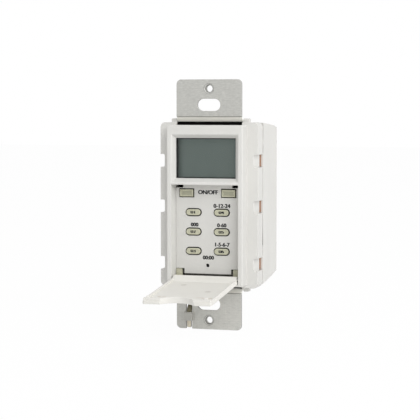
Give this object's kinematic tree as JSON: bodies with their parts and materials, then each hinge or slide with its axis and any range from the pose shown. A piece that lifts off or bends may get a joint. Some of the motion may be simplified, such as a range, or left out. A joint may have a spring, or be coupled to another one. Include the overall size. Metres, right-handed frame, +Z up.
{
  "type": "timer light switch",
  "caption": "In-wall timer light switch on a steel strap, with a display, a keypad bay behind a drop-down door, oblong keys and an override bar.",
  "frame": {"origin": "in the front plane of the strap's ears, midway between the two wall-plate screw holes", "axes": "+X to the right seen from the room, +Y into the wall, +Z up"},
  "size_m": [0.0426, 0.0764, 0.1046],
  "materials": {
    "housing_white": "fine satin moulding",
    "door_white": "satin, slightly warm",
    "plate_grey": "finely textured",
    "key_khaki": "satin",
    "tab_khaki": "satin",
    "zinc_steel": "zinc plated, dull",
    "pin_steel": "plain drawn",
    "screw_steel": "zinc plated",
    "fibre_black": "vulcanised fibre",
    "frame_black": "matt black",
    "window_clear": "clear moulded window",
    "lcd_glass": "reflective grey-green display",
    "connector_rubber": "striped elastomer",
    "mat_rubber": "matt silicone",
    "board_green": "solder resist on laminate",
    "board_brown": "phenolic paper laminate",
    "chip_black": "moulded epoxy",
    "can_metal": "drawn can",
    "battery_steel": "plated can",
    "relay_blue": "satin case",
    "film_yellow": "potted box",
    "varistor_blue": "lacquered disc",
    "terminal_brass": "stamped",
    "wire_green": "insulated lead",
    "core_tinned": "tinned strands"
  },
  "bodies": {
    "root": {"mounting_strap": "zinc_steel", "insulating_sheet": "fibre_black", "front_housing": "housing_white", "rear_housing": "housing_white", "keypad_plate": "plate_grey", "door_detent_tabs": "tab_khaki", "reset_switch": "chip_black", "keypad_mat": "mat_rubber", "display_window": "window_clear", "lcd_panel": "lcd_glass", "lcd_frame": "frame_black", "lcd_connectors": "connector_rubber", "display_board": "board_green", "controller_chip": "chip_black", "clock_crystal": "can_metal", "backup_battery": "battery_steel", "board_header": "frame_black", "power_board": "board_brown", "relay": "relay_blue", "film_capacitor": "film_yellow", "filter_capacitors": "can_metal", "varistor": "varistor_blue", "rectifier_diodes": "chip_black", "lead_terminals": "terminal_brass", "housing_screws": "screw_steel", "ground_wire": "wire_green", "ground_wire_end": "core_tinned"},
    "door": {"door": "door_white", "door_pivot_pins": "pin_steel"},
    "override_bar": {"override_bar": "key_khaki"},
    "mode_button": {"mode_button": "key_khaki"},
    "delete_button": {"delete_button": "key_khaki"},
    "enter_button": {"enter_button": "key_khaki"},
    "hour_button": {"hour_button": "key_khaki"},
    "minute_button": {"minute_button": "key_khaki"},
    "day_button": {"day_button": "key_khaki"},
    "reset_plunger": {"reset_plunger": "chip_black"}
  },
  "joints": [
    {"name": "door_hinge", "type": "hinge", "parent": "root", "child": "door", "pos_m": [0, -0.005, -0.03065], "axis": [1, 0, 0], "range_deg": [-96.58, 0]},
    {"name": "override_press", "type": "slide", "parent": "root", "child": "override_bar", "axis": [0, 1, 0], "range_m": [0, 0.0005], "stiffness_N_per_m": 300, "springref_m": -0.0004},
    {"name": "mode_press", "type": "slide", "parent": "root", "child": "mode_button", "axis": [0, 1, 0], "range_m": [0, 0.0005], "stiffness_N_per_m": 300, "springref_m": -0.0004},
    {"name": "delete_press", "type": "slide", "parent": "root", "child": "delete_button", "axis": [0, 1, 0], "range_m": [0, 0.0005], "stiffness_N_per_m": 300, "springref_m": -0.0004},
    {"name": "enter_press", "type": "slide", "parent": "root", "child": "enter_button", "axis": [0, 1, 0], "range_m": [0, 0.0005], "stiffness_N_per_m": 300, "springref_m": -0.0004},
    {"name": "hour_press", "type": "slide", "parent": "root", "child": "hour_button", "axis": [0, 1, 0], "range_m": [0, 0.0005], "stiffness_N_per_m": 300, "springref_m": -0.0004},
    {"name": "minute_press", "type": "slide", "parent": "root", "child": "minute_button", "axis": [0, 1, 0], "range_m": [0, 0.0005], "stiffness_N_per_m": 300, "springref_m": -0.0004},
    {"name": "day_press", "type": "slide", "parent": "root", "child": "day_button", "axis": [0, 1, 0], "range_m": [0, 0.0005], "stiffness_N_per_m": 300, "springref_m": -0.0004},
    {"name": "reset_press", "type": "slide", "parent": "root", "child": "reset_plunger", "axis": [0, 1, 0], "range_m": [0, 0.0003], "stiffness_N_per_m": 300, "springref_m": -0.0004}
  ]
}
